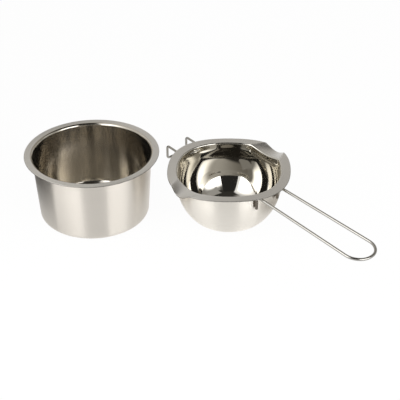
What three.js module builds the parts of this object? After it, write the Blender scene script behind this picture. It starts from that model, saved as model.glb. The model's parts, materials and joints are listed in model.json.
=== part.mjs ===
// A melting set for chocolate or wax, in millimetres with +Z up: a plain water pot and, standing beside it,
// the melting bowl that hangs in its mouth. Both vessels are pressed from thin stainless sheet. The bowl has
// two pouring spouts and carries a long loop handle and a short rest hook, each bent from one length of wire
// and welded to the bowl's wall. The origin is the centre of the pot's base, and both vessels stand on z = 0.

import * as THREE from 'three';
import { mergeVertices } from 'three/addons/utils/BufferGeometryUtils.js';

// Sheet metal, and the gap kept between pieces that touch
const sheet = 0.7;
const seatGap = 0.3;

// Water pot: its wall widens by the taper from the base corner to the mouth
const potHeight = 78;
const potMouthRadius = 65.7;
const potTaper = 4.7;
const potCorner = 7.6;
const potLipBend = 1.4;
const potLipWidth = 7.2;

// Melting bowl: it hangs in the pot's mouth with the nest clearance all round
const nestClearance = 6.9;
const bowlHeight = 61.2;
const bowlUprightWall = 15.5;
const bowlBaseFillet = 18;
const bowlLipBend = 0.8;
const bowlLipWidth = 9.7;

// The bowl's rim is flared: most at the spouts, less at the wires, and drawn in a little between them. The
// mouth takes a share of this, which fades out down the wall.
const rimFlare = 1.5;
const rimDraw = 2.35;
const spoutDraw = 0.6;
const mouthShare = 0.6;
const mouthDepth = 8;

// Pouring spouts, nearly at right angles to the handle: wide and flattened at the mouth, narrow at the rim
const spoutWidth = 28.2;
const spoutDip = 6;
const spoutInnerWidth = 46;
const spoutInnerDip = 4;
const spoutDent = 4.3;
const spoutTurn = THREE.MathUtils.degToRad(-1.55);

// Loop handle
const handleWire = 3.2;
const handleReach = 137;
const handleLegSpacing = 32.1;
const handleSplay = THREE.MathUtils.degToRad(1.05);
const handleDroop = THREE.MathUtils.degToRad(4.4);
const handleEndFlat = 1;
const handleBend = 4;
const handleStub = 18.5;

// Rest hook
const hookWire = 2.7;
const hookReach = 17.6;
const hookLegSpacing = 29.2;
const hookRise = THREE.MathUtils.degToRad(5);
const hookDrop = 16.4;
const hookBend = 3;
const hookStub = 17;

// Weld metal between a wire's end and the wall
const weldThickness = 0.6;
const weldWidth = 3.2;
const weldHeight = 9;
const weldCorner = 1.4;
const weldFoot = 1;

// How the set stands: the bowl beside the pot, with its handle swung to one side
const rimGap = 8.45;
const bowlBearing = THREE.MathUtils.degToRad(-9.75);
const handleBearing = THREE.MathUtils.degToRad(-53.35);

// Fineness of the faceted surfaces
const potSides = 72;
const bowlSides = 96;
const wireSides = 10;
const bendStep = THREE.MathUtils.degToRad(15);
const cornerSteps = 5;
const sphereSteps = 6;
const filletSteps = 3;
const wallSteps = 5;
const lipBendSteps = 3;
const lipEdgeSteps = 2;
const weldCornerSteps = 2;
const mergeTolerance = 1e-4;

// Colours and roughness of the steels
const potSteel = { color: 0xb9b3a8, roughness: 0.35, metalness: 1 };
const bowlSteel = { color: 0xcac6bf, roughness: 0.2, metalness: 1 };
const wireSteel = { color: 0xb4b3af, roughness: 0.25, metalness: 1 };
const weldSteel = { color: 0x5a5248, roughness: 0.5, metalness: 1 };

// Sizes that follow
const potWallRadius = potMouthRadius + sheet;
const potRimRadius = potWallRadius + potLipBend + potLipWidth;
const bowlWallRadius = potMouthRadius - nestClearance;
const bowlLipStart = bowlWallRadius + bowlLipBend;
const bowlRimRadius = bowlLipStart + bowlLipWidth;
const bowlLipUnderside = bowlHeight - sheet;
const weldStandOff = seatGap + weldThickness + seatGap;

// Points of a circular arc in the half plane of radius and height.
function arcPoints(centre, radius, fromDegrees, toDegrees, steps) {
  const points = [];
  for (let i = 0; i <= steps; i += 1) {
    const angle = THREE.MathUtils.degToRad(fromDegrees + ((toDegrees - fromDegrees) * i) / steps);
    points.push(new THREE.Vector2(centre.x + radius * Math.cos(angle), centre.y + radius * Math.sin(angle)));
  }
  return points;
}

// The flared lip of a vessel, from the outside of its wall over the rim to the inside of the wall.
function lipPoints(wallRadius, bend, lipWidth, height) {
  const bendCentre = new THREE.Vector2(wallRadius + bend, height - sheet - bend);
  const edgeCentre = new THREE.Vector2(wallRadius + bend + lipWidth - sheet / 2, height - sheet / 2);
  return [
    ...arcPoints(bendCentre, bend, 180, 90, lipBendSteps),
    ...arcPoints(edgeCentre, sheet / 2, -90, 90, lipEdgeSteps),
    ...arcPoints(bendCentre, bend + sheet, 90, 180, lipBendSteps),
  ];
}

// A body turned about +Z from a profile of radius and height that starts and ends on the axis.
function turnedBody(profile, sides) {
  const geometry = new THREE.LatheGeometry(profile, sides);
  geometry.rotateX(Math.PI / 2);
  geometry.deleteAttribute('normal');
  geometry.deleteAttribute('uv');
  return mergeVertices(geometry, mergeTolerance);
}

function waterPotGeometry() {
  const baseRadius = potWallRadius - potTaper;
  const cornerCentre = new THREE.Vector2(baseRadius - potCorner, potCorner);
  return turnedBody([
    new THREE.Vector2(0, 0),
    ...arcPoints(cornerCentre, potCorner, -90, 0, cornerSteps),
    ...lipPoints(potWallRadius, potLipBend, potLipWidth, potHeight),
    ...arcPoints(cornerCentre, potCorner - sheet, 0, -90, cornerSteps),
    new THREE.Vector2(0, sheet),
  ], potSides);
}

// Points up the bowl's upright wall, between the sphere and the bend under the lip.
function uprightWallPoints(radius) {
  const foot = bowlHeight - bowlUprightWall;
  const top = bowlLipUnderside - bowlLipBend;
  const points = [];
  for (let i = 1; i < wallSteps; i += 1) {
    points.push(new THREE.Vector2(radius, THREE.MathUtils.lerp(foot, top, i / wallSteps)));
  }
  return points;
}

// A round-bottomed bowl: flat base, filleted into a sphere that ends in a short upright wall.
function plainBowlGeometry() {
  const sphereCentre = new THREE.Vector2(0, bowlHeight - bowlUprightWall);
  const filletReach = bowlWallRadius - bowlBaseFillet;
  const filletDrop = sphereCentre.y - bowlBaseFillet;
  const filletAngle = THREE.MathUtils.radToDeg(Math.asin(filletDrop / filletReach));
  const filletCentre = new THREE.Vector2(Math.sqrt(filletReach ** 2 - filletDrop ** 2), bowlBaseFillet);
  return turnedBody([
    new THREE.Vector2(0, 0),
    ...arcPoints(filletCentre, bowlBaseFillet, -90, -filletAngle, filletSteps),
    ...arcPoints(sphereCentre, bowlWallRadius, -filletAngle, 0, sphereSteps).slice(1),
    ...uprightWallPoints(bowlWallRadius),
    ...lipPoints(bowlWallRadius, bowlLipBend, bowlLipWidth, bowlHeight),
    ...uprightWallPoints(bowlWallRadius - sheet).reverse(),
    ...arcPoints(sphereCentre, bowlWallRadius - sheet, 0, -filletAngle, sphereSteps),
    ...arcPoints(filletCentre, bowlBaseFillet - sheet, -filletAngle, -90, filletSteps).slice(1),
    new THREE.Vector2(0, sheet),
  ], bowlSides);
}

// How far the rim is drawn out at an azimuth, which is measured from the handle.
function rimShift(azimuth) {
  return rimFlare + rimDraw * Math.cos(4 * azimuth) - spoutDraw * Math.cos(2 * azimuth);
}

// How far a height takes part in a pressing that reaches down to some depth: fully from the lip upward.
function climb(height, depth) {
  return THREE.MathUtils.smoothstep(height, bowlHeight - depth, bowlLipUnderside);
}

// Flares the bowl's rim, and presses a spout into its lip and upright wall on each side of the handle.
function meltingBowlGeometry() {
  const { clamp, lerp } = THREE.MathUtils;
  const geometry = plainBowlGeometry();
  const position = geometry.getAttribute('position');
  for (let i = 0; i < position.count; i += 1) {
    const x = position.getX(i);
    const y = position.getY(i);
    const height = position.getZ(i);
    const radius = Math.hypot(x, y);
    if (radius > mergeTolerance) {
      const azimuth = Math.atan2(y, x);
      const along = clamp((radius - bowlLipStart) / bowlLipWidth, 0, 1);
      const halfWidth = lerp(spoutInnerWidth, spoutWidth, along) / 2;
      const fromSpout = Math.abs(Math.abs(azimuth - spoutTurn) - Math.PI / 2) * radius;
      const across = Math.cos((Math.min(fromSpout / halfWidth, 1) * Math.PI) / 2);
      const trough = climb(height, bowlUprightWall) * across;
      const flare = climb(height, mouthDepth) * lerp(mouthShare, 1, along) * rimShift(azimuth);
      const stretch = (radius + flare - trough * lerp(spoutDent, 0, along)) / radius;
      position.setXYZ(i, x * stretch, y * stretch, height - trough * lerp(spoutInnerDip, spoutDip, along));
    }
  }
  return geometry;
}

// A round bend in a wire.
class WireBend extends THREE.Curve {
  constructor(start, centre, axis, turn) {
    super();
    this.start = start;
    this.centre = centre;
    this.axis = axis;
    this.turn = turn;
  }

  getPoint(t, target = new THREE.Vector3()) {
    return target.copy(this.start).sub(this.centre).applyAxisAngle(this.axis, this.turn * t).add(this.centre);
  }
}

// A wire's centre line through given corners, with one step for a straight run and several for a bend.
class BentWire extends THREE.Curve {
  constructor(corners, bendRadii) {
    super();
    this.runs = [];
    let from = corners[0];
    for (let i = 1; i < corners.length - 1; i += 1) {
      const radius = bendRadii[i - 1];
      const arriving = corners[i].clone().sub(corners[i - 1]).normalize();
      const leaving = corners[i + 1].clone().sub(corners[i]).normalize();
      const turn = arriving.angleTo(leaving);
      const setback = radius * Math.tan(turn / 2);
      const start = corners[i].clone().addScaledVector(arriving, -setback);
      const axis = arriving.clone().cross(leaving).normalize();
      const centre = start.clone().addScaledVector(axis.clone().cross(arriving), radius);
      this.addRun(new THREE.LineCurve3(from, start), 1);
      this.addRun(new WireBend(start, centre, axis, turn), Math.ceil(turn / bendStep));
      from = corners[i].clone().addScaledVector(leaving, setback);
    }
    this.addRun(new THREE.LineCurve3(from, corners[corners.length - 1]), 1);
  }

  addRun(curve, steps) {
    for (let i = 0; i < steps; i += 1) {
      this.runs.push({ curve, from: i / steps, to: (i + 1) / steps });
    }
  }

  getPoint(t, target = new THREE.Vector3()) {
    const place = THREE.MathUtils.clamp(t, 0, 1) * this.runs.length;
    const index = Math.min(Math.floor(place), this.runs.length - 1);
    const run = this.runs[index];
    return run.curve.getPoint(THREE.MathUtils.lerp(run.from, run.to, place - index), target);
  }

  getUtoTmapping(u) {
    return u;
  }
}

function wireGeometry(corners, bendRadii, diameter) {
  const section = [];
  for (let i = 0; i < wireSides; i += 1) {
    const angle = (2 * Math.PI * i) / wireSides;
    section.push(new THREE.Vector2(Math.cos(angle), Math.sin(angle)).multiplyScalar(diameter / 2));
  }
  const extrudePath = new BentWire(corners, bendRadii);
  return new THREE.ExtrudeGeometry(new THREE.Shape(section), { steps: extrudePath.runs.length, extrudePath });
}

// The corners of one side of a wire, followed by the same corners mirrored, last to first.
function mirrored(corners) {
  const otherSide = corners.map((corner) => new THREE.Vector3(corner.x, -corner.y, corner.z));
  return [...corners, ...otherSide.reverse()];
}

// Where a wire of given diameter stands against the wall, at a given distance to one side of the bowl's axis.
function wireSeat(diameter, sideways) {
  const standOff = bowlWallRadius + weldStandOff + diameter / 2;
  return { along: Math.sqrt(standOff ** 2 - sideways ** 2), azimuth: Math.asin(sideways / standOff) };
}

// The loop handle runs out along +X from two ends welded to the wall under the lip.
function handleGeometry() {
  const side = handleLegSpacing / 2;
  const seat = wireSeat(handleWire, side);
  const top = bowlLipUnderside - seatGap - handleWire / 2;
  const end = bowlRimRadius + handleReach;
  const endSide = side + (end - seat.along) * Math.tan(handleSplay);
  const endBend = (endSide - handleEndFlat / 2) / Math.tan((Math.PI / 2 + handleSplay) / 2);
  const corners = mirrored([
    new THREE.Vector3(seat.along, side, bowlHeight - handleStub),
    new THREE.Vector3(seat.along, side, top),
    new THREE.Vector3(end, endSide, top - (end - seat.along) * Math.tan(handleDroop)),
  ]);
  return wireGeometry(corners, [handleBend, endBend, endBend, handleBend], handleWire);
}

// The rest hook runs out along -X, opposite the handle, turns down and comes back along a cross bar.
function hookGeometry() {
  const side = hookLegSpacing / 2;
  const seat = wireSeat(hookWire, side);
  const underLip = bowlLipUnderside - seatGap - hookWire / 2;
  const lipEdge = bowlRimRadius + rimShift(Math.PI);
  const reach = bowlRimRadius + hookReach;
  const heightAt = (distance) => underLip + (distance - lipEdge) * Math.tan(hookRise);
  const corners = mirrored([
    new THREE.Vector3(-seat.along, side, bowlHeight - hookStub),
    new THREE.Vector3(-seat.along, side, heightAt(seat.along)),
    new THREE.Vector3(-reach, side, heightAt(reach)),
    new THREE.Vector3(-reach, side, heightAt(reach) - hookDrop),
  ]);
  return wireGeometry(corners, Array(corners.length - 2).fill(hookBend), hookWire);
}

// A rounded pad of weld metal, facing +X, with its foot just above the end of the wire's stub.
function weldGeometry(stub) {
  const half = weldWidth / 2;
  const outline = new THREE.Shape();
  outline.moveTo(weldCorner - half, 0);
  outline.lineTo(half - weldCorner, 0);
  outline.absarc(half - weldCorner, weldCorner, weldCorner, -Math.PI / 2, 0, false);
  outline.lineTo(half, weldHeight - weldCorner);
  outline.absarc(half - weldCorner, weldHeight - weldCorner, weldCorner, 0, Math.PI / 2, false);
  outline.lineTo(weldCorner - half, weldHeight);
  outline.absarc(weldCorner - half, weldHeight - weldCorner, weldCorner, Math.PI / 2, Math.PI, false);
  outline.lineTo(-half, weldCorner);
  outline.absarc(weldCorner - half, weldCorner, weldCorner, Math.PI, (3 * Math.PI) / 2, false);
  const settings = { depth: weldThickness, bevelEnabled: false, curveSegments: weldCornerSteps };
  const geometry = new THREE.ExtrudeGeometry(outline, settings);
  geometry.rotateX(Math.PI / 2);
  geometry.rotateZ(Math.PI / 2);
  geometry.translate(bowlWallRadius + seatGap, 0, bowlHeight - stub + weldFoot);
  return geometry;
}

function piece(name, geometry, steel) {
  const mesh = new THREE.Mesh(geometry, new THREE.MeshStandardMaterial(steel));
  mesh.name = name;
  return mesh;
}

// A weld pad under each of a wire's two ends. The bearing is the wire's own, from the handle's direction.
function weldPair(name, wire, spacing, stub, bearing) {
  const { azimuth } = wireSeat(wire, spacing / 2);
  return [['left', 1], ['right', -1]].map(([sideName, sign]) => {
    const pad = piece(`${name}_${sideName}`, weldGeometry(stub), weldSteel);
    const turned = new THREE.Group();
    turned.rotation.z = bearing + sign * azimuth;
    turned.add(pad);
    return turned;
  });
}

const bowlSet = new THREE.Group();
const bowlDistance = potRimRadius + bowlRimRadius + rimGap;
bowlSet.position.set(bowlDistance * Math.cos(bowlBearing), bowlDistance * Math.sin(bowlBearing), 0);
bowlSet.rotation.z = handleBearing;
bowlSet.add(
  piece('melting_bowl', meltingBowlGeometry(), bowlSteel),
  piece('loop_handle', handleGeometry(), wireSteel),
  piece('rest_hook', hookGeometry(), wireSteel),
  ...weldPair('handle_weld', handleWire, handleLegSpacing, handleStub, 0),
  ...weldPair('hook_weld', hookWire, hookLegSpacing, hookStub, Math.PI),
);

const meltingSet = new THREE.Group();
meltingSet.add(piece('water_pot', waterPotGeometry(), potSteel), bowlSet);

export default meltingSet;
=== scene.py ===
"""The looks of a melting set: a brushed water pot and a polished melting bowl with its wire handle and hook.

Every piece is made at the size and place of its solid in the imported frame, with fine curves and real
finishes, and rides on the pot's or the bowl's body. Lengths are in millimetres until a mesh is made, and in
metres from there on.
"""

import json
import logging
import math
from dataclasses import dataclass, field
from enum import Enum
from typing import Callable

import bpy
from mathutils import Matrix, Quaternion, Vector


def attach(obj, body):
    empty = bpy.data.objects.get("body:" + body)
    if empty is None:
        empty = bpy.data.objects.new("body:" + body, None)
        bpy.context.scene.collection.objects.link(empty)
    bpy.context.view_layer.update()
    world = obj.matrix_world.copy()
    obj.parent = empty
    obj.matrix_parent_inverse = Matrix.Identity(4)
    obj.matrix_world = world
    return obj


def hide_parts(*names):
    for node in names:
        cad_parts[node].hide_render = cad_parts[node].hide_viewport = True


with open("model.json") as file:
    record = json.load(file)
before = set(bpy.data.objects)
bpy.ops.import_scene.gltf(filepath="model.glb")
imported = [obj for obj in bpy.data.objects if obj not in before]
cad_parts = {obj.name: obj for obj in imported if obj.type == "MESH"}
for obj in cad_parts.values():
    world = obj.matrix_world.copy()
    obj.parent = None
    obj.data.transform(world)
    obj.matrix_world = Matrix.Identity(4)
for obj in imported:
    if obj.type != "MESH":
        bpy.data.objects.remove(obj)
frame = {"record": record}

LOG = logging.getLogger("melting_set")
# Metres in a millimetre
MM = 0.001
# A point that is nearer to the axis than this, in millimetres, is on it
ON_AXIS = 1e-6
# Where the handle points, in degrees from +X
HANDLE_BEARING = -53.35
# At a cut rim, the share of the sheet's thickness that is rounded below. The rest is rounded above.
BURR_SHARE = 0.15
# Degrees up that upper rounding to which the bare cut, darkened with painted shade, shows
CUT_TURN = 50
# Degrees round a lip's bend to which the satin of the lip runs on
SATIN_TURN = 5
# The power that swells a circle towards a rectangle with round corners
CORNER_POWER = 0.6
# What most of a noise pattern lies between, and how many finer layers it has
NOISE_LOW = 0.3
NOISE_HIGH = 0.7
NOISE_DETAIL = 3.0
# Turns of the tangent that make reflections smear across marks that run round
ACROSS_MARKS = 0.25
# How many reflections of reflections the renderer follows
DEEPEST_MIRROR = 4
WHITE = "#ffffff"
# The colour layer of the room's mesh
PAINT = "paint"


class Zone(Enum):
    """The faces of a vessel that are finished differently, in the order of its material slots."""

    OUTSIDE = 0
    LIP = 1
    INSIDE = 2
    EDGE = 3


class Lay(Enum):
    """The way that the marks of a finish run."""

    ROUND = "round the axis of the vessel"
    CLOUDY = "in no direction"


def to_linear(colour: str) -> tuple[float, float, float, float]:
    """Turns an sRGB hex colour into the linear values that a shader takes.

    Args:
        colour: Six hex digits after a hash sign.

    Returns:
        Linear red, green, blue and an alpha of one.
    """
    channels = [int(colour[place:place + 2], 16) / 255 for place in (1, 3, 5)]
    linear = [c / 12.92 if c <= 0.04045 else ((c + 0.055) / 1.055) ** 2.4 for c in channels]
    return (*linear, 1.0)


def add_node(tree: bpy.types.NodeTree, kind: str, settings: dict | None = None,
             inputs: dict | None = None) -> bpy.types.Node:
    """Adds a node to a tree.

    Args:
        tree: The material's or the world's node tree.
        kind: The node's type in Blender.
        settings: Properties of the node itself.
        inputs: For each input, by name or number, a value or the output socket that feeds it.

    Returns:
        The new node.
    """
    node = tree.nodes.new(kind)
    for name, value in (settings or {}).items():
        setattr(node, name, value)
    for name, value in (inputs or {}).items():
        if isinstance(value, bpy.types.NodeSocket):
            tree.links.new(value, node.inputs[name])
        else:
            node.inputs[name].default_value = value
    return node


@dataclass(frozen=True)
class SteelFinish:
    """Stainless steel with one surface finish.

    Attributes:
        name: The material's name: the metal and how its surface was made.
        colour: What the bare metal gives back, as sRGB hex.
        roughness: The spread of its reflections.
        anisotropy: How much further they spread across the marks than along them.
        lay: The way that the marks run.
        mark_mm: The spacing of the marks.
        mark_depth_mm: How deep the marks show.
        swing: How much the roughness varies from mark to mark.
        painted_deep_reflection: The colour, as sRGB hex, in which the surface glows as a painted reflection
            where the last reflection that is followed ends, or nothing for black.
    """

    name: str
    colour: str
    roughness: float
    anisotropy: float
    lay: Lay
    mark_mm: float
    mark_depth_mm: float
    swing: float
    painted_deep_reflection: str | None = None

    def material(self) -> bpy.types.Material:
        """Makes the material, once for each finish.

        Returns:
            The Blender material.
        """
        made = bpy.data.materials.get(self.name)
        if made is not None:
            return made
        made = bpy.data.materials.new(self.name)
        made.use_nodes = True
        tree = made.node_tree
        tree.nodes.clear()
        marks = self.marks(tree)
        low, high = self.roughness - self.swing, self.roughness + self.swing
        rough = add_node(tree, "ShaderNodeMapRange", inputs={
            "Value": marks, "From Min": NOISE_LOW, "From Max": NOISE_HIGH, "To Min": low, "To Max": high})
        bump = add_node(tree, "ShaderNodeBump", inputs={
            "Height": marks, "Strength": 1.0, "Distance": self.mark_depth_mm * MM})
        inputs = {
            "Base Color": to_linear(self.colour),
            "Metallic": 1.0,
            "Roughness": rough.outputs["Result"],
            "Normal": bump.outputs["Normal"],
            "Anisotropic": self.anisotropy,
        }
        if self.lay is Lay.ROUND:
            tangent = add_node(tree, "ShaderNodeTangent", {"direction_type": "RADIAL", "axis": "Z"})
            inputs["Tangent"] = tangent.outputs["Tangent"]
            inputs["Anisotropic Rotation"] = ACROSS_MARKS
        # Painted reflection: past the deepest followed reflection, the surface glows in a flat colour in
        # place of the room that it would show
        if self.painted_deep_reflection is not None:
            path = add_node(tree, "ShaderNodeLightPath")
            deep = add_node(tree, "ShaderNodeMath", {"operation": "GREATER_THAN"}, {
                0: path.outputs["Glossy Depth"], 1: DEEPEST_MIRROR - 0.5})
            inputs["Emission Color"] = to_linear(self.painted_deep_reflection)
            inputs["Emission Strength"] = deep.outputs["Value"]
        shader = add_node(tree, "ShaderNodeBsdfPrincipled", inputs=inputs)
        add_node(tree, "ShaderNodeOutputMaterial", inputs={"Surface": shader.outputs["BSDF"]})
        return made

    def marks(self, tree: bpy.types.NodeTree) -> bpy.types.NodeSocket:
        """Adds the pattern of the finish's marks.

        Args:
            tree: The material's node tree.

        Returns:
            The socket with the pattern's height, about 0.5 on average.
        """
        place = add_node(tree, "ShaderNodeTexCoord").outputs["Object"]
        if self.lay is Lay.ROUND:
            split = add_node(tree, "ShaderNodeSeparateXYZ", inputs={"Vector": place})
            flat = add_node(tree, "ShaderNodeCombineXYZ", inputs={
                "X": split.outputs["X"], "Y": split.outputs["Y"]})
            radius = add_node(tree, "ShaderNodeVectorMath", {"operation": "LENGTH"}, {
                0: flat.outputs["Vector"]})
            across = add_node(tree, "ShaderNodeCombineXYZ", inputs={
                "X": radius.outputs["Value"], "Y": split.outputs["Z"]})
            place = across.outputs["Vector"]
        noise = add_node(tree, "ShaderNodeTexNoise", inputs={
            "Vector": place, "Scale": 1 / (self.mark_mm * MM), "Detail": NOISE_DETAIL})
        return noise.outputs["Fac"]


# The marks of belts and buffing wheels are about a tenth of a millimetre apart. That is too fine to show, so
# the marks that run round are drawn 0.6 to 0.8 mm apart. The cloudy ones have about their real size.

# Pressed sheet that was polished round and round with a fine belt: broad soft bands of light run up the wall
POT_OUTSIDE = SteelFinish(
    "stainless_steel_belt_brushed_round", "#dfd9d0", 0.35, 1.0, Lay.ROUND, 0.8, 0.0004, 0.03)
# The same sheet inside, drawn and then buffed round: dark reflections that smear up and down, and a colour
# darker than the outside's as painted shade inside the pot
POT_INSIDE = SteelFinish(
    "stainless_steel_drawn_and_buffed", "#c5c0b7", 0.16, 0.7, Lay.ROUND, 0.8, 0.0001, 0.015)
# Flat pressed lips left with a satin face: an even grey without a clear reflection
SATIN_LIP = SteelFinish("stainless_steel_satin_lip", "#d6d4d0", 0.38, 0.4, Lay.ROUND, 0.6, 0.0005, 0.04)
# The edge that the press tool cut, left bare: dull, and darker than the lip as painted shade for the dark
# line along the lip's outer edge
CUT_EDGE = SteelFinish("stainless_steel_cut_edge", "#77746e", 0.45, 0.0, Lay.CLOUDY, 0.4, 0.01, 0.1)
# The bowl outside, buffed to a soft shine, with soft spots of light: paler than bare steel as painted light
# for the bright floor that it shows
BOWL_OUTSIDE = SteelFinish(
    "stainless_steel_soft_buffed", "#ebe6dd", 0.36, 0.95, Lay.ROUND, 0.8, 0.0001, 0.015)
# The bowl inside, mirror polished: sharp black and white bands, and a painted reflection of the room's tone
# that glows where the followed reflections run out
BOWL_INSIDE = SteelFinish(
    "stainless_steel_mirror_polished", "#cdcac3", 0.05, 0.0, Lay.CLOUDY, 6.0, 0.0005, 0.015, "#b0aca5")
# Drawn wire, barrel polished: a narrow dark line beside a narrow bright one
WIRE = SteelFinish("stainless_steel_wire_polished", "#a8a6a1", 0.22, 0.0, Lay.CLOUDY, 2.0, 0.001, 0.04)
# The ends of the wires: dull brown grey from a slight heat tint of the welder, and darkened further as
# painted shade where they stand under the lip
WIRE_ENDS_HEAT_TINT_AND_PAINTED_SHADE = SteelFinish("stainless_steel_wire_ends_heat_tint_and_painted_shade", "#6e675e", 0.25, 0.0, Lay.CLOUDY, 1.5, 0.004, 0.06)
# Metal squeezed out by the welder: dull, uneven and tinted brown grey by its heat, and darkened further as
# painted shade for the gap under the lip
WELD = SteelFinish("stainless_steel_weld_metal", "#5a5248", 0.5, 0.0, Lay.CLOUDY, 0.7, 0.03, 0.1)


def fade(value: float, start: float, end: float) -> float:
    """Rises smoothly from zero at the start to one at the end."""
    share = min(max((value - start) / (end - start), 0), 1)
    return share * share * (3 - 2 * share)


def blend(start: float, end: float, share: float) -> float:
    """Gives the value at some share of the way from the start to the end."""
    return start + (end - start) * share


def rounded(share: float) -> float:
    """Swells a circle's sine or cosine towards a rectangle with round corners."""
    return math.copysign(abs(share) ** CORNER_POWER, share)


def on_circle(centre: Vector, radius: float, degrees: float) -> Vector:
    """Gives the point of a circle at an angle, in the plane of radius and height."""
    angle = math.radians(degrees)
    return centre + radius * Vector((math.cos(angle), math.sin(angle)))


@dataclass
class Section:
    """Half the cross section of a turned shell, from the axis under its base to the axis over it.

    Attributes:
        points: Radius and height of each point.
        zones: The finish zone of the stretch that ends at each point.
    """

    points: list[Vector] = field(default_factory=lambda: [Vector((0.0, 0.0))])
    zones: list[Zone] = field(default_factory=lambda: [Zone.OUTSIDE])

    def line(self, end: Vector, zone: Zone, steps: int) -> None:
        """Adds a straight stretch whose points crowd at both ends, so that smooth shading keeps it straight.

        Args:
            end: Its far end.
            zone: Its finish zone.
            steps: How many points it adds.
        """
        start = self.points[-1]
        for step in range(1, steps + 1):
            share = (1 - math.cos(math.pi * step / steps)) / 2
            self.points.append(start.lerp(end, share))
            self.zones.append(zone)

    def arc(self, centre: Vector, radius: float, start: float, end: float, zone: Zone, steps: int) -> None:
        """Adds a round stretch that starts at the last point.

        Args:
            centre: The arc's centre.
            radius: Its radius.
            start: Its first angle, in degrees.
            end: Its last angle, in degrees.
            zone: Its finish zone.
            steps: How many points it adds.
        """
        for step in range(1, steps + 1):
            self.points.append(on_circle(centre, radius, start + (end - start) * step / steps))
            self.zones.append(zone)

    def lip(self, wall: float, bend: float, width: float, height: float, sheet: float, lean: float) -> None:
        """Adds a flared lip, from the outside of a wall over the lip's edge to the inside of the wall.

        Args:
            wall: Radius of the wall's outside under the lip.
            bend: Radius of the bend under the lip.
            width: Width of the flat lip.
            height: Height of the lip's top.
            sheet: Thickness of the sheet.
            lean: How far the wall leans out, in degrees.
        """
        bend_centre = Vector((wall + bend, height - sheet - bend))
        rim = wall + bend + width
        burr = BURR_SHARE * sheet
        round_over = sheet - burr
        low_centre = Vector((rim - burr, height - sheet + burr))
        high_centre = Vector((rim - round_over, height - round_over))
        self.arc(bend_centre, bend, 180 - lean, 90, Zone.OUTSIDE, steps=10)
        self.line(on_circle(low_centre, burr, -90), Zone.OUTSIDE, steps=10)
        # The cut edge's darker finish is painted shade for the dark line under the rim
        self.arc(low_centre, burr, -90, 0, Zone.EDGE, steps=3)
        self.arc(high_centre, round_over, 0, CUT_TURN, Zone.EDGE, steps=5)
        self.arc(high_centre, round_over, CUT_TURN, 90, Zone.LIP, steps=5)
        self.line(on_circle(bend_centre, bend + sheet, 90), Zone.LIP, steps=12)
        self.arc(bend_centre, bend + sheet, 90, 90 + SATIN_TURN, Zone.LIP, steps=6)
        self.arc(bend_centre, bend + sheet, 90 + SATIN_TURN, 180 - lean, Zone.INSIDE, steps=8)

    def mesh(self, name: str, sides: int, shape: Callable[[Vector], Vector]) -> bpy.types.Mesh:
        """Turns the section about the axis.

        Args:
            name: The mesh's name.
            sides: How many steps make a full turn.
            shape: Moves each point of the turned shell to its place, in millimetres.

        Returns:
            The closed, smooth mesh, with its zones as material numbers.
        """
        vertices, rings = [], []
        for point in self.points:
            count = 1 if point.x < ON_AXIS else sides
            rings.append([len(vertices) + i for i in range(count)])
            for i in range(count):
                angle = 2 * math.pi * i / sides
                turned = Vector((point.x * math.cos(angle), point.x * math.sin(angle), point.y))
                vertices.append(shape(turned) * MM)
        faces, numbers = [], []
        for lower, upper, zone in zip(rings, rings[1:], self.zones[1:]):
            for i in range(sides):
                pairs = [(lower, i), (lower, i + 1), (upper, i + 1), (upper, i)]
                faces.append(list(dict.fromkeys(ring[place % len(ring)] for ring, place in pairs)))
                numbers.append(zone.value)
        return smooth_mesh(name, vertices, faces, numbers)


def smooth_mesh(name: str, vertices: list[Vector], faces: list[list[int]],
                numbers: list[int]) -> bpy.types.Mesh:
    """Makes a smooth mesh.

    Args:
        name: The mesh's name.
        vertices: Its points, in metres.
        faces: The points of each face, counter-clockwise from outside.
        numbers: The material number of each face.

    Returns:
        The mesh.
    """
    mesh = bpy.data.meshes.new(name)
    mesh.from_pydata(vertices, [], faces)
    mesh.polygons.foreach_set("material_index", numbers)
    mesh.shade_smooth()
    mesh.validate()
    return mesh


def side_faces(rings: int, sides: int) -> list[list[int]]:
    """Joins each ring of points to the next one.

    Args:
        rings: How many rings there are.
        sides: How many points each ring has.

    Returns:
        The points of each face, ring by ring.
    """
    faces = []
    for near in range(0, (rings - 1) * sides, sides):
        far = near + sides
        for i in range(sides):
            j = (i + 1) % sides
            faces.append([near + i, near + j, far + j, far + i])
    return faces


def end_faces(rings: int, sides: int) -> list[list[int]]:
    """Closes the first and the last ring of points.

    Args:
        rings: How many rings there are.
        sides: How many points each ring has.

    Returns:
        The points of both faces.
    """
    first = [sides - 1 - i for i in range(sides)]
    last = [(rings - 1) * sides + i for i in range(sides)]
    return [first, last]


@dataclass(frozen=True)
class Seat:
    """Where a piece belongs: the body that it rides on, the node that it stands for and its finish.

    Attributes:
        body: The CAD body.
        node: The CAD node.
        slot: The record's material slot; not used.
        finishes: The finish of each material slot of the mesh.
        place: From the piece's own coordinates to the frame.
    """

    body: str
    node: str
    slot: str
    finishes: tuple[SteelFinish, ...]
    place: Matrix

    def put(self, mesh: bpy.types.Mesh) -> bpy.types.Object:
        """Makes the piece from its mesh and seats it.

        Args:
            mesh: The piece's mesh, named as the piece.

        Returns:
            The piece.
        """
        piece = bpy.data.objects.new(mesh.name, mesh)
        bpy.context.scene.collection.objects.link(piece)
        piece.matrix_world = self.place
        for finish in self.finishes:
            mesh.materials.append(finish.material())
        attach(piece, self.body)
        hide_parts(self.node)
        LOG.info("%s: %d faces, rides on %s", piece.name, len(mesh.polygons), self.body)
        return piece


@dataclass(frozen=True)
class Sheet:
    """The stainless sheet that both vessels are pressed from."""

    thickness: float = 0.7


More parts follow.
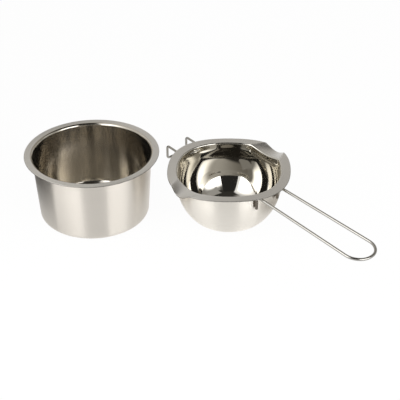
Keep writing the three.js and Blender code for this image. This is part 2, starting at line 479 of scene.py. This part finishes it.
@dataclass
class WaterPot:
    """The plain pot with a flared lip, its wall widening from the base corner to the mouth.

    Attributes:
        sheet: What it is pressed from.
        height: Height of the lip's top.
        mouth_radius: Inside radius of the wall under the lip.
        taper: How much wider the wall is under the lip than at the base.
        corner: Outside radius of the base corner.
        lip_bend: Radius of the bend under the lip, a little rounder than the solid's.
        lip_width: Width of the flat lip.
        sides: Steps of a full turn.
    """

    sheet: Sheet
    height: float = 78.0
    mouth_radius: float = 65.7
    taper: float = 4.7
    corner: float = 7.6
    lip_bend: float = 2.2
    lip_width: float = 6.4
    sides: int = 240

    @property
    def wall_radius(self) -> float:
        """Outside radius of the wall under the lip."""
        return self.mouth_radius + self.sheet.thickness

    def section(self) -> Section:
        """Draws half the pot's cross section.

        Returns:
            The section.
        """
        thickness = self.sheet.thickness
        base = self.wall_radius - self.taper
        corner = Vector((base - self.corner, self.corner))
        bend = Vector((self.wall_radius + self.lip_bend, self.height - thickness - self.lip_bend))
        lean = math.degrees(math.atan2(self.taper, bend.y - corner.y))
        section = Section()
        section.line(on_circle(corner, self.corner, -90), Zone.OUTSIDE, steps=16)
        section.arc(corner, self.corner, -90, -lean, Zone.OUTSIDE, steps=18)
        section.line(on_circle(bend, self.lip_bend, 180 - lean), Zone.OUTSIDE, steps=20)
        section.lip(self.wall_radius, self.lip_bend, self.lip_width, self.height, thickness, lean)
        section.line(on_circle(corner, self.corner - thickness, -lean), Zone.INSIDE, steps=20)
        section.arc(corner, self.corner - thickness, -lean, -90, Zone.INSIDE, steps=18)
        section.line(Vector((0, thickness)), Zone.INSIDE, steps=20)
        return section

    def build(self) -> None:
        """Makes the pot's shell and dresses it."""
        mesh = self.section().mesh("water_pot_shell", self.sides, lambda point: point)
        finishes = (POT_OUTSIDE, SATIN_LIP, POT_INSIDE, CUT_EDGE)
        Seat("pot", "water_pot", "pot_steel", finishes, Matrix.Identity(4)).put(mesh)


# Centre, direction and radius of a ring round a wire
Ring = tuple[Vector, Vector, float]


@dataclass
class BentWire:
    """One length of round wire through given corners, rounded by bends.

    Attributes:
        corners: Where the straight runs would meet.
        bends: The bend's radius at each corner but the first and last.
        diameter: The wire's diameter.
        sides: Steps round the wire.
        bend_step: Degrees between points in a bend.
        run_step: Length between points along a straight run.
        end_round: Radius of the broken edge at the cut ends.
        dark_end: Length at each end that takes the darker finish of slight heat tint and painted shade.
    """

    corners: list[Vector]
    bends: list[float]
    diameter: float
    sides: int = 20
    bend_step: float = 5.0
    run_step: float = 2.5
    end_round: float = 0.4
    dark_end: float = 12.0

    def centre_line(self) -> list[Vector]:
        """Draws the wire's centre line.

        Returns:
            Its points, from end to end.
        """
        points = [self.corners[0]]
        bent = zip(self.corners, self.corners[1:], self.corners[2:], self.bends)
        for before, corner, after, radius in bent:
            arriving = (corner - before).normalized()
            leaving = (after - corner).normalized()
            turn = arriving.angle(leaving)
            start = corner - arriving * radius * math.tan(turn / 2)
            axis = arriving.cross(leaving).normalized()
            centre = start + axis.cross(arriving) * radius
            self.run_to(points, start)
            steps = math.ceil(math.degrees(turn) / self.bend_step)
            for step in range(1, steps + 1):
                points.append(centre + Quaternion(axis, turn * step / steps) @ (start - centre))
        self.run_to(points, self.corners[-1])
        return points

    def run_to(self, points: list[Vector], end: Vector) -> None:
        """Adds a straight run to a centre line.

        Args:
            points: The centre line so far.
            end: The run's far end.
        """
        start = points[-1]
        steps = max(1, round((end - start).length / self.run_step))
        points.extend(start.lerp(end, step / steps) for step in range(1, steps + 1))

    def rings(self) -> list[Ring]:
        """Sets a ring round each point of the centre line, and breaks the edges of the cut ends.

        Returns:
            The rings, from end to end.
        """
        line = self.centre_line()
        steps = [(after - before).normalized() for before, after in zip(line, line[1:])]
        between = [arriving + leaving for arriving, leaving in zip(steps, steps[1:])]
        directions = [steps[0], *between, steps[-1]]
        radius = self.diameter / 2
        body = [(point, direction.normalized(), radius) for point, direction in zip(line, directions)]
        first, last = self.broken_edge(body[0], -1), self.broken_edge(body[-1], 1)
        return first[::-1] + body[1:-1] + last

    def broken_edge(self, ring: Ring, outward: int) -> list[Ring]:
        """Gives the rings of a cut end, from the full wire to the end's flat.

        Args:
            ring: The ring at the end.
            outward: One where the wire runs towards this end, minus one at its start.

        Returns:
            Rings that shrink round a quarter circle.
        """
        centre, direction, radius = ring
        quarter = [math.radians(angle) for angle in (0, 30, 60, 90)]
        return [(centre + direction * outward * self.end_round * (math.sin(a) - 1), direction,
                 radius - self.end_round * (1 - math.cos(a))) for a in quarter]

    def mesh(self, name: str) -> bpy.types.Mesh:
        """Sweeps the wire's round section along its centre line.

        Args:
            name: The mesh's name.

        Returns:
            The closed mesh, in metres, with one as the material number of the dark ends, which carry painted
            shade.
        """
        rings = self.rings()
        along = [0.0]
        for before, after in zip(rings, rings[1:]):
            along.append(along[-1] + (after[0] - before[0]).length)
        side = rings[0][1].orthogonal().normalized()
        vertices, numbers = [], []
        previous = rings[0][1]
        for centre, direction, radius in rings:
            side = previous.rotation_difference(direction) @ side
            side = (side - direction * side.dot(direction)).normalized()
            other = direction.cross(side)
            previous = direction
            for i in range(self.sides):
                angle = 2 * math.pi * i / self.sides
                vertices.append((centre + radius * (side * math.cos(angle) + other * math.sin(angle))) * MM)
        # The last stretch at each end takes the darker finish: partly heat tint, partly painted shade under
        # the lip
        for start, end in zip(along, along[1:]):
            dark_end = min(end, along[-1] - start) < self.dark_end
            numbers.extend([int(dark_end)] * self.sides)
        faces = side_faces(len(rings), self.sides) + end_faces(len(rings), self.sides)
        return smooth_mesh(name, vertices, faces, numbers + [1, 1])


def mirrored(corners: list[Vector]) -> list[Vector]:
    """Gives one side's corners of a wire and then the other side's, last to first."""
    return corners + [Vector((corner.x, -corner.y, corner.z)) for corner in reversed(corners)]


@dataclass
class MeltingBowl:
    """The round-bottomed bowl with a wide lip and two pouring spouts, and the wires welded to it.

    It is drawn about its own axis, with the handle along +X, the hook along -X and a spout on each side.

    Attributes:
        sheet: What it is pressed from.
        place: From its own coordinates to the frame.
        wall_radius: Outside radius of the upright wall.
        height: Height of the lip's top.
        upright: How far below it the round bottom starts.
        fillet: Radius between the round bottom and the flat base.
        lip_bend: Radius of the bend under the lip.
        lip_width: Width of the lip before it is drawn out.
        spout_width: Width of a spout at the rim.
        spout_dip: Depth of a spout at the rim.
        spout_inner_width: Its width at the mouth.
        spout_inner_dip: Its depth at the mouth.
        spout_dent: How far it presses the mouth inward.
        spout_turn: Degrees that the spouts are turned from a right angle to the handle.
        rim_flare: How far the rim is drawn out on average.
        rim_draw: How much further at spouts and wires, and less between them.
        spout_draw: How much further still at the spouts, and less at the wires.
        mouth_share: The share of this drawing that the mouth takes.
        mouth_depth: How far down from the lip's top it fades out.
        seat_gap: Gap that the solids keep on each side of a weld.
        weld_thickness: Thickness of a weld between those gaps.
        sides: Steps of a full turn.
    """

    sheet: Sheet
    place: Matrix
    wall_radius: float = 58.8
    height: float = 61.2
    upright: float = 15.5
    fillet: float = 18.0
    lip_bend: float = 0.8
    lip_width: float = 9.7
    spout_width: float = 28.2
    spout_dip: float = 6.0
    spout_inner_width: float = 46.0
    spout_inner_dip: float = 4.0
    spout_dent: float = 4.3
    spout_turn: float = -1.55
    rim_flare: float = 1.5
    rim_draw: float = 2.35
    spout_draw: float = 0.6
    mouth_share: float = 0.6
    mouth_depth: float = 8.0
    seat_gap: float = 0.3
    weld_thickness: float = 0.6
    sides: int = 288

    @property
    def lip_start(self) -> float:
        """Radius where the flat lip starts."""
        return self.wall_radius + self.lip_bend

    @property
    def rim_radius(self) -> float:
        """Radius of the rim before it is pressed."""
        return self.lip_start + self.lip_width

    @property
    def under_lip(self) -> float:
        """Height of the lip's underside."""
        return self.height - self.sheet.thickness

    def section(self) -> Section:
        """Draws half the bowl's cross section, before the spouts are pressed.

        Returns:
            The section.
        """
        thickness = self.sheet.thickness
        ball = Vector((0, self.height - self.upright))
        reach = self.wall_radius - self.fillet
        drop = ball.y - self.fillet
        turn = math.degrees(math.asin(drop / reach))
        foot = Vector((math.sqrt(reach ** 2 - drop ** 2), self.fillet))
        section = Section()
        section.line(on_circle(foot, self.fillet, -90), Zone.OUTSIDE, steps=14)
        section.arc(foot, self.fillet, -90, -turn, Zone.OUTSIDE, steps=14)
        section.arc(ball, self.wall_radius, -turn, 0, Zone.OUTSIDE, steps=36)
        section.line(Vector((self.wall_radius, self.under_lip - self.lip_bend)), Zone.OUTSIDE, steps=16)
        section.lip(self.wall_radius, self.lip_bend, self.lip_width, self.height, thickness, lean=0)
        section.line(Vector((self.wall_radius - thickness, ball.y)), Zone.INSIDE, steps=16)
        section.arc(ball, self.wall_radius - thickness, 0, -turn, Zone.INSIDE, steps=36)
        section.arc(foot, self.fillet - thickness, -turn, -90, Zone.INSIDE, steps=14)
        section.line(Vector((0, thickness)), Zone.INSIDE, steps=14)
        return section

    def rim_shift(self, azimuth: float) -> float:
        """Tells how far the rim is drawn out: most at the spouts, less at the wires, inward between them."""
        wave = self.rim_draw * math.cos(4 * azimuth) - self.spout_draw * math.cos(2 * azimuth)
        return self.rim_flare + wave

    def climb(self, height: float, depth: float) -> float:
        """Tells how far a height takes part in a pressing of some depth: fully from the lip upward."""
        return fade(height, self.height - depth, self.under_lip)

    def pressed(self, point: Vector) -> Vector:
        """Draws the rim out, and presses the spouts: wide and flat at the mouth, narrow and deep at the rim.

        Args:
            point: A point of the turned shell.

        Returns:
            Its place in the finished bowl.
        """
        radius = math.hypot(point.x, point.y)
        if radius < ON_AXIS:
            return point
        azimuth = math.atan2(point.y, point.x)
        along = min(max((radius - self.lip_start) / self.lip_width, 0), 1)
        half_width = blend(self.spout_inner_width, self.spout_width, along) / 2
        from_spout = abs(abs(azimuth - math.radians(self.spout_turn)) - math.pi / 2) * radius
        trough = math.cos(min(from_spout / half_width, 1) * math.pi / 2) * self.climb(point.z, self.upright)
        mouth = self.climb(point.z, self.mouth_depth) * blend(self.mouth_share, 1, along)
        outward = mouth * self.rim_shift(azimuth) - trough * blend(self.spout_dent, 0, along)
        dip = trough * blend(self.spout_inner_dip, self.spout_dip, along)
        stretch = (radius + outward) / radius
        return Vector((point.x * stretch, point.y * stretch, point.z - dip))

    def wire_seat(self, diameter: float, sideways: float) -> float:
        """Tells how far along the handle's line a wire's end stands against the wall.

        Args:
            diameter: The wire's diameter.
            sideways: Its distance to one side of the handle's line.

        Returns:
            The distance from the bowl's axis.
        """
        stand_off = self.wall_radius + 2 * self.seat_gap + self.weld_thickness + diameter / 2
        return math.sqrt(stand_off ** 2 - sideways ** 2)

    def build(self) -> None:
        """Makes the bowl's shell and dresses it."""
        mesh = self.section().mesh("melting_bowl_shell", self.sides, self.pressed)
        finishes = (BOWL_OUTSIDE, SATIN_LIP, BOWL_INSIDE, CUT_EDGE)
        Seat("bowl", "melting_bowl", "bowl_steel", finishes, self.place).put(mesh)


@dataclass
class WeldBead:
    """The metal that joins a wire's end to the bowl's wall: an uneven pad that narrows towards the wire.

    Attributes:
        bowl: The bowl that it is on.
        width: Width of the solid's pad.
        height: Height of the solid's pad.
        foot: How far its lower end lies above the wire's end.
        sunk: How far it reaches into the wall and into the wire.
        wall_scale: Its size in the wall, as a share of the solid's pad.
        waist: Shares of the way from the wall to the wire, each with its size there.
        wire_scale: Its size in the wire.
        big_lumps: How many there are round it, and their height as a share of its size.
        small_lumps: The same for finer lumps.
        sides: Steps round its outline.
    """

    bowl: MeltingBowl
    width: float = 3.2
    height: float = 9.0
    foot: float = 1.0
    sunk: float = 0.1
    wall_scale: float = 0.9
    waist: tuple[tuple[float, float], ...] = ((0.15, 0.86), (0.4, 0.76), (0.7, 0.68))
    wire_scale: float = 0.64
    big_lumps: tuple[int, float] = (5, 0.05)
    small_lumps: tuple[int, float] = (9, 0.03)
    sides: int = 40

    def layers(self) -> list[tuple[float, float]]:
        """Gives the pad's layers.

        Returns:
            For each layer, its distance from the wall and its size as a share of the solid's pad.
        """
        gap = 2 * self.bowl.seat_gap + self.bowl.weld_thickness
        between = [(share * gap, scale) for share, scale in self.waist]
        return [(-self.sunk, self.wall_scale), *between, (gap + self.sunk, self.wire_scale)]

    def swell(self, angle: float, start: float) -> float:
        """Tells how large the uneven outline is at an angle, as a share of an even one.

        Args:
            angle: The angle round the outline, in radians.
            start: Where the big lumps start, so that welds on different wires differ.

        Returns:
            The share, about one.
        """
        big, big_height = self.big_lumps
        small, small_height = self.small_lumps
        return 1 + big_height * math.sin(big * angle + start) + small_height * math.sin(small * angle)

    def build(self, node: str, bearing: float, azimuth: float, stub: float) -> None:
        """Makes one weld and dresses it.

        Args:
            node: The weld's CAD node.
            bearing: The wire's direction from the bowl's axis, in radians.
            azimuth: The weld's angle to one side of that direction, in radians.
            stub: How far below the rim the wire's end reaches.
        """
        layers = self.layers()
        middle = self.bowl.height - stub + self.foot + self.height / 2
        vertices = []
        for depth, scale in layers:
            for i in range(self.sides):
                angle = 2 * math.pi * i / self.sides
                size = scale * self.swell(angle, stub)
                across = size * self.width / 2 * rounded(math.cos(angle))
                along = size * self.height / 2 * rounded(math.sin(angle))
                vertices.append(Vector((self.bowl.wall_radius + depth, across, middle + along)) * MM)
        faces = side_faces(len(layers), self.sides) + end_faces(len(layers), self.sides)
        mesh = smooth_mesh(node + "_bead", vertices, faces, [0] * len(faces))
        place = self.bowl.place @ Matrix.Rotation(bearing + azimuth, 4, "Z")
        Seat("bowl", node, "weld_steel", (WELD,), place).put(mesh)


@dataclass
class LoopHandle:
    """The long handle, one wire bent to a loop, whose two ends turn down the bowl's wall under the lip.

    Attributes:
        bowl: The bowl that it is welded to.
        diameter: The wire's diameter.
        reach: How far the loop's end lies beyond the bowl's plain rim.
        spacing: Distance between the legs at the wall.
        splay: Degrees that each leg runs outward.
        droop: Degrees that the legs fall on their way.
        end_flat: Length of straight wire across the loop's end.
        bend: Radius of the bends at the wall.
        stub: How far below the lip's top the ends reach.
    """

    bowl: MeltingBowl
    diameter: float = 3.2
    reach: float = 137.0
    spacing: float = 32.1
    splay: float = 1.05
    droop: float = 4.4
    end_flat: float = 1.0
    bend: float = 4.0
    stub: float = 18.5

    def build(self) -> None:
        """Makes the handle and dresses it."""
        side = self.spacing / 2
        start = self.bowl.wire_seat(self.diameter, side)
        top = self.bowl.under_lip - self.bowl.seat_gap - self.diameter / 2
        end = self.bowl.rim_radius + self.reach
        end_side = side + (end - start) * math.tan(math.radians(self.splay))
        end_bend = (end_side - self.end_flat / 2) / math.tan(math.radians(90 + self.splay) / 2)
        end_top = top - (end - start) * math.tan(math.radians(self.droop))
        corners = mirrored([
            Vector((start, side, self.bowl.height - self.stub)),
            Vector((start, side, top)),
            Vector((end, end_side, end_top)),
        ])
        wire = BentWire(corners, [self.bend, end_bend, end_bend, self.bend], self.diameter)
        seat = Seat("bowl", "loop_handle", "wire_steel", (WIRE, WIRE_ENDS_HEAT_TINT_AND_PAINTED_SHADE), self.bowl.place)
        seat.put(wire.mesh("loop_handle_wire"))
        azimuth = math.atan2(side, start)
        WeldBead(self.bowl).build("handle_weld_left", 0, azimuth, self.stub)
        WeldBead(self.bowl).build("handle_weld_right", 0, -azimuth, self.stub)


@dataclass
class RestHook:
    """The short hook opposite the handle: two legs out from under the lip, turned down to a cross bar.

    Attributes:
        bowl: The bowl that it is welded to.
        diameter: The wire's diameter.
        reach: How far the legs run out beyond the bowl's plain rim.
        spacing: Distance between the legs.
        rise: Degrees that the legs rise on their way.
        drop: How far they then turn down to the cross bar.
        bend: Radius of the bends.
        stub: How far below the lip's top the ends reach.
    """

    bowl: MeltingBowl
    diameter: float = 2.7
    reach: float = 17.6
    spacing: float = 29.2
    rise: float = 5.0
    drop: float = 16.4
    bend: float = 3.0
    stub: float = 17.0

    def build(self) -> None:
        """Makes the hook and dresses it."""
        side = self.spacing / 2
        start = self.bowl.wire_seat(self.diameter, side)
        under_lip = self.bowl.under_lip - self.bowl.seat_gap - self.diameter / 2
        slope = math.tan(math.radians(self.rise))
        lip_edge = self.bowl.rim_radius + self.bowl.rim_shift(math.pi)
        end = self.bowl.rim_radius + self.reach
        start_top = under_lip + (start - lip_edge) * slope
        end_top = under_lip + (end - lip_edge) * slope
        corners = mirrored([
            Vector((-start, side, self.bowl.height - self.stub)),
            Vector((-start, side, start_top)),
            Vector((-end, side, end_top)),
            Vector((-end, side, end_top - self.drop)),
        ])
        wire = BentWire(corners, [self.bend] * (len(corners) - 2), self.diameter)
        seat = Seat("bowl", "rest_hook", "wire_steel", (WIRE, WIRE_ENDS_HEAT_TINT_AND_PAINTED_SHADE), self.bowl.place)
        seat.put(wire.mesh("rest_hook_wire"))
        azimuth = math.atan2(side, start)
        WeldBead(self.bowl).build("hook_weld_left", math.pi, azimuth, self.stub)
        WeldBead(self.bowl).build("hook_weld_right", math.pi, -azimuth, self.stub)


@dataclass(frozen=True)
class Softbox:
    """A standing light panel between two places on the floor, whose face fades towards some of its edges.

    Attributes:
        name: The lamp's name.
        start: One end of its foot, in millimetres.
        end: The other end, so that the set is on its left on the way.
        foot: Height of its lower edge.
        head: Height of its upper edge.
        radiance: How bright its face is, where one is white.
        start_fade: Share of its width that fades towards the start.
        end_fade: Share of its width that fades towards the end.
        top_fade: Share of its height that fades upward.
    """

    name: str
    start: tuple[float, float]
    end: tuple[float, float]
    foot: float
    head: float
    radiance: float
    start_fade: float
    end_fade: float
    top_fade: float

    def build(self) -> None:
        """Makes the lamp."""
        start, end = Vector((*self.start, 0)), Vector((*self.end, 0))
        along = (end - start).normalized()
        upward = Vector((0, 0, 1))
        facing = upward.cross(along)
        data = bpy.data.lights.new(self.name, "AREA")
        data.shape = "RECTANGLE"
        data.size = (end - start).length * MM
        data.size_y = (self.head - self.foot) * MM
        data.energy = self.radiance * math.pi * data.size * data.size_y
        self.fade_edges(data)
        lamp = bpy.data.objects.new(self.name, data)
        turn = Matrix((along, upward, -facing)).transposed().to_4x4()
        middle = (start + end) / 2 + Vector((0, 0, (self.foot + self.head) / 2))
        lamp.matrix_world = Matrix.Translation(middle * MM) @ turn
        lamp.visible_camera = False
        bpy.context.scene.collection.objects.link(lamp)

    def fade_edges(self, data: bpy.types.Light) -> None:
        """Dims the lamp's face towards the edges that fade.

        Args:
            data: The lamp's data.
        """
        data.use_nodes = True
        tree = data.node_tree
        tree.nodes.clear()
        face = add_node(tree, "ShaderNodeNewGeometry")
        across = add_node(tree, "ShaderNodeSeparateXYZ", inputs={"Vector": face.outputs["Parametric"]})
        share = 1.0
        fades = (("X", 0, self.start_fade), ("X", 1, 1 - self.end_fade), ("Y", 1, 1 - self.top_fade))
        for place, edge, inner in fades:
            if inner != edge:
                dimmed = add_node(tree, "ShaderNodeMapRange", {"interpolation_type": "SMOOTHSTEP"}, {
                    "Value": across.outputs[place],
                    "From Min": edge,
                    "From Max": inner,
                    "To Min": 0.0,
                    "To Max": 1.0,
                })
                both = add_node(tree, "ShaderNodeMath", {"operation": "MULTIPLY"}, {
                    0: share, 1: dimmed.outputs["Result"]})
                share = both.outputs["Value"]
        glow = add_node(tree, "ShaderNodeEmission", inputs={"Strength": share})
        add_node(tree, "ShaderNodeOutputLight", inputs={"Surface": glow.outputs["Emission"]})


def show_in_steel(mesh: bpy.types.Mesh, colour: str | None) -> None:
    """Makes a part of the studio that gives no light and shows only in the steel.

    Args:
        mesh: Its mesh, named as the part.
        colour: Its colour as sRGB hex, or nothing where the mesh's points hold their own colours.
    """
    paint = bpy.data.materials.new(mesh.name + "_paint")
    paint.use_nodes = True
    tree = paint.node_tree
    tree.nodes.clear()
    if colour is None:
        painted = add_node(tree, "ShaderNodeVertexColor", {"layer_name": PAINT}).outputs["Color"]
    else:
        painted = to_linear(colour)
    glow = add_node(tree, "ShaderNodeEmission", inputs={"Color": painted, "Strength": 1.0})
    add_node(tree, "ShaderNodeOutputMaterial", inputs={"Surface": glow.outputs["Emission"]})
    mesh.materials.append(paint)
    part = bpy.data.objects.new(mesh.name, mesh)
    part.visible_camera = False
    part.visible_diffuse = False
    part.visible_shadow = False
    bpy.context.scene.collection.objects.link(part)


@dataclass(frozen=True)
class Card:
    """A standing card of the studio, whose face runs between two places on the floor.

    Attributes:
        name: Its name.
        start: One end of its foot, in millimetres.
        end: The other end.
        foot: Height of its lower edge.
        head: Height of its upper edge.
        colour: Its colour, as sRGB hex.
    """

    name: str
    start: tuple[float, float]
    end: tuple[float, float]
    foot: float
    head: float
    colour: str

    def build(self) -> None:
        """Makes the card."""
        low = [Vector((*place, self.foot)) * MM for place in (self.start, self.end)]
        high = [Vector((*place, self.head)) * MM for place in (self.end, self.start)]
        show_in_steel(smooth_mesh(self.name, low + high, [[0, 1, 2, 3]], [0]), self.colour)


@dataclass(frozen=True)
class Room:
    """The walls and ceiling of the studio, as a dome round the set: one side is lit, and it darkens upward.

    Attributes:
        distance: Its distance in metres.
        foot: Elevation in degrees where the walls start. Below it, the steel shows the white world.
        lit_side: Bearing of the brightest wall in degrees, from the camera's side towards +X.
        lit_colour: The brightest wall, as sRGB hex.
        dim_colour: The wall opposite.
        ceiling_colour: The ceiling.
        sweep_share: How much of the floor's white runs up into the foot of the walls.
        sweep: Elevations in degrees where that white starts to fade and is gone.
        wall_top: Elevation where the dim wall meets the ceiling.
        lit_rise: How much higher the lit wall meets it.
        soft: Half the height of the fade from wall to ceiling.
        steps: Faces round and up the dome.
    """

    distance: float = 3.0
    foot: float = 6.0
    lit_side: float = -125.0
    lit_colour: str = "#e6e3de"
    dim_colour: str = "#949089"
    ceiling_colour: str = "#3c3a37"
    sweep_share: float = 0.15
    sweep: tuple[float, float] = (8.0, 20.0)
    wall_top: float = 46.0
    lit_rise: float = 32.0
    soft: float = 9.0
    steps: tuple[int, int] = (72, 42)

    def colour(self, azimuth: float, elevation: float) -> Vector:
        """Gives the room's linear colour in one direction.

        Args:
            azimuth: The direction's bearing in degrees, as for the lit side.
            elevation: Its elevation in degrees.

        Returns:
            Linear red, green, blue and alpha.
        """
        lit = (1 + math.cos(math.radians(azimuth - self.lit_side))) / 2
        colours = (self.lit_colour, self.dim_colour, self.ceiling_colour)
        pale, dim, ceiling = (Vector(to_linear(colour)) for colour in colours)
        top = self.wall_top + self.lit_rise * lit * lit
        wall = dim.lerp(pale, lit * lit).lerp(ceiling, fade(elevation, top - self.soft, top + self.soft))
        return wall.lerp(Vector(to_linear(WHITE)), self.sweep_share * (1 - fade(elevation, *self.sweep)))

    def build(self, centre: Vector) -> None:
        """Makes the dome.

        Args:
            centre: The middle of the set, in metres.
        """
        columns, rows = self.steps
        vertices, colours = [], []
        for row in range(rows + 1):
            elevation = blend(self.foot, 90, row / rows)
            for column in range(columns):
                azimuth = 360 * column / columns
                flat = Vector((math.sin(math.radians(azimuth)), -math.cos(math.radians(azimuth)), 0))
                upward = Vector((0, 0, math.sin(math.radians(elevation))))
                vertices.append(centre + self.distance * (flat * math.cos(math.radians(elevation)) + upward))
                colours.extend(self.colour(azimuth, elevation))
        faces = side_faces(rows + 1, columns)
        mesh = smooth_mesh("room", vertices, faces, [0] * len(faces))
        mesh.color_attributes.new(PAINT, "FLOAT_COLOR", "POINT").data.foreach_set("color", colours)
        show_in_steel(mesh, None)


# Two overlapping panels on the left, the second one taller, and one on the right
SOFTBOXES = (
    Softbox("softbox_left", (-217.0, 50.0), (-205.0, -480.0), 80.0, 900.0, 2.6, 0.62, 0.0, 1.0),
    Softbox("softbox_left_high", (-214.0, 145.0), (-222.0, -645.0), 230.0, 1800.0, 1.2, 0.5, 0.0, 0.5),
    Softbox("softbox_right", (348.0, -819.0), (1200.0, -400.0), 130.0, 860.0, 3.6, 0.0, 0.45, 0.45),
)
# What gives the steel its dark and pale bands
CARDS = (
    Card("black_cloth_behind_camera", (-600.0, -1000.0), (345.0, -805.0), 215.0, 1800.0, "#2e2d2b"),
    Card("pale_card_right", (480.0, -850.0), (1300.0, -450.0), 100.0, 1100.0, "#aba9a5"),
    Card("grey_card_right", (1300.0, -450.0), (1400.0, 0.0), 100.0, 1100.0, "#a09d98"),
    Card("black_card_left", (-130.0, -60.0), (-100.0, 140.0), 0.0, 85.0, "#262523"),
    Card("black_card_behind_pot", (-110.0, 110.0), (40.0, 170.0), 0.0, 108.0, "#3a3835"),
    Card("grey_card_low_right", (216.0, -105.0), (223.0, 45.0), 0.0, 36.0, "#bdbab5"),
    Card("white_card_between", (124.0, 17.0), (102.0, 72.0), 128.0, 175.0, WHITE),
    Card("grey_card_over_bowl", (212.0, -100.0), (300.0, 30.0), 125.0, 330.0, "#b4b2ae"),
)


@dataclass
class Studio:
    """The plain floor, the soft lights and the camera.

    Attributes:
        eye: The camera's place, in millimetres.
        yaw: Degrees that it looks to the right of +Y.
        pitch: Degrees that it looks down.
        roll: Degrees that it leans.
        focal_px: Its focal length in pixels of the picture.
        picture_px: The picture's width in pixels.
        sensor_mm: The camera's sensor width.
        floor_m: The floor's width.
        floor_height_m: Its height, just under the vessels' bases so that no two faces coincide.
        floor_colour: What it gives back of the light, as sRGB hex.
        floor_glow: Share of plain white in it where it is seen, which leaves the rest for the shadow.
        fill_colour: The grey light from all sides, as sRGB hex.
        centre: The middle of the set, in millimetres.
    """

    eye: tuple[float, float, float] = (0.0, -1147.4, 738.74)
    yaw: float = 6.0002
    pitch: float = 32.4295
    roll: float = -0.3633
    focal_px: float = 1186.34
    picture_px: float = 400.0
    sensor_mm: float = 36.0
    floor_m: float = 6.0
    floor_height_m: float = -0.0003
    floor_colour: str = "#f4f3f1"
    floor_glow: float = 0.96
    fill_colour: str = "#d0d0d0"
    centre: tuple[float, float, float] = (75.0, -13.0, 60.0)

    def camera(self) -> None:
        """Makes the camera at the photograph's viewing angle."""
        yaw, pitch, roll = (math.radians(angle) for angle in (self.yaw, self.pitch, self.roll))
        forward = Vector((math.sin(yaw) * math.cos(pitch), math.cos(yaw) * math.cos(pitch), -math.sin(pitch)))
        level = Vector((math.cos(yaw), -math.sin(yaw), 0))
        upward = level.cross(forward)
        right = math.cos(roll) * level + math.sin(roll) * upward
        top = -math.sin(roll) * level + math.cos(roll) * upward
        data = bpy.data.cameras.new("camera")
        data.sensor_width = self.sensor_mm
        data.lens = self.focal_px / self.picture_px * self.sensor_mm
        camera = bpy.data.objects.new("camera", data)
        turn = Matrix((right, top, -forward)).transposed().to_4x4()
        camera.matrix_world = Matrix.Translation(Vector(self.eye) * MM) @ turn
        bpy.context.scene.collection.objects.link(camera)
        bpy.context.scene.camera = camera

    def show_background(self, tree: bpy.types.NodeTree, share: float) -> bpy.types.NodeSocket:
        """Adds nodes that pick out the rays that see the white background: from the camera, metal or glass.

        Args:
            tree: The floor's or the world's node tree.
            share: What the nodes give for such a ray.

        Returns:
            The socket with the share for such rays and zero for the others.
        """
        path = add_node(tree, "ShaderNodeLightPath")
        seen = add_node(tree, "ShaderNodeMath", {"operation": "ADD"}, {
            0: path.outputs["Is Camera Ray"], 1: path.outputs["Is Glossy Ray"]})
        seen = add_node(tree, "ShaderNodeMath", {"operation": "ADD", "use_clamp": True}, {
            0: seen.outputs["Value"], 1: path.outputs["Is Transmission Ray"]})
        shared = add_node(tree, "ShaderNodeMath", {"operation": "MULTIPLY"}, {
            0: seen.outputs["Value"], 1: share})
        return shared.outputs["Value"]

    def floor(self) -> None:
        """Makes the white floor, which glows in part where it is seen and keeps the set's shadow."""
        half = self.floor_m / 2
        places = ((-half, -half), (half, -half), (half, half), (-half, half))
        corners = [Vector((x, y, self.floor_height_m)) for x, y in places]
        mesh = smooth_mesh("floor", corners, [[0, 1, 2, 3]], [0])
        paper = bpy.data.materials.new("white_paper_sweep")
        paper.use_nodes = True
        tree = paper.node_tree
        tree.nodes.clear()
        matt = add_node(tree, "ShaderNodeBsdfDiffuse", inputs={"Color": to_linear(self.floor_colour)})
        white = add_node(tree, "ShaderNodeEmission", inputs={"Color": to_linear(WHITE), "Strength": 1.0})
        mixed = add_node(tree, "ShaderNodeMixShader", inputs={
            0: self.show_background(tree, self.floor_glow),
            1: matt.outputs["BSDF"],
            2: white.outputs["Emission"],
        })
        add_node(tree, "ShaderNodeOutputMaterial", inputs={"Surface": mixed.outputs["Shader"]})
        mesh.materials.append(paper)
        floor = bpy.data.objects.new("floor", mesh)
        bpy.context.scene.collection.objects.link(floor)

    def world(self) -> None:
        """Makes the world: white where it is seen, and a plain grey light from all sides."""
        world = bpy.data.worlds.new("studio")
        bpy.context.scene.world = world
        world.use_nodes = True
        tree = world.node_tree
        tree.nodes.clear()
        light = add_node(tree, "ShaderNodeBackground", inputs={
            "Color": to_linear(self.fill_colour), "Strength": 1.0})
        white = add_node(tree, "ShaderNodeBackground", inputs={"Color": to_linear(WHITE), "Strength": 1.0})
        mixed = add_node(tree, "ShaderNodeMixShader", inputs={
            0: self.show_background(tree, 1.0),
            1: light.outputs["Background"],
            2: white.outputs["Background"],
        })
        add_node(tree, "ShaderNodeOutputWorld", inputs={"Surface": mixed.outputs["Shader"]})

    def build(self) -> None:
        """Makes the camera, the floor, the surroundings and the lights."""
        self.camera()
        self.floor()
        self.world()
        Room().build(Vector(self.centre) * MM)
        for standing in SOFTBOXES + CARDS:
            standing.build()


def main() -> None:
    """Builds the set and its studio."""
    logging.basicConfig(level=logging.INFO, format="%(message)s")
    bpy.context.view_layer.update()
    mounts = {mount["name"]: Vector(mount["pos_m"]) for mount in frame["record"]["mounts"]}
    turn = Matrix.Rotation(math.radians(HANDLE_BEARING), 4, "Z")
    place = Matrix.Translation(mounts["bowl_base"]) @ turn
    sheet = Sheet()
    WaterPot(sheet).build()
    bowl = MeltingBowl(sheet, place)
    bowl.build()
    LoopHandle(bowl).build()
    RestHook(bowl).build()
    Studio().build()
    bpy.context.scene.view_settings.view_transform = "Standard"


if __name__ == "__main__":
    main()
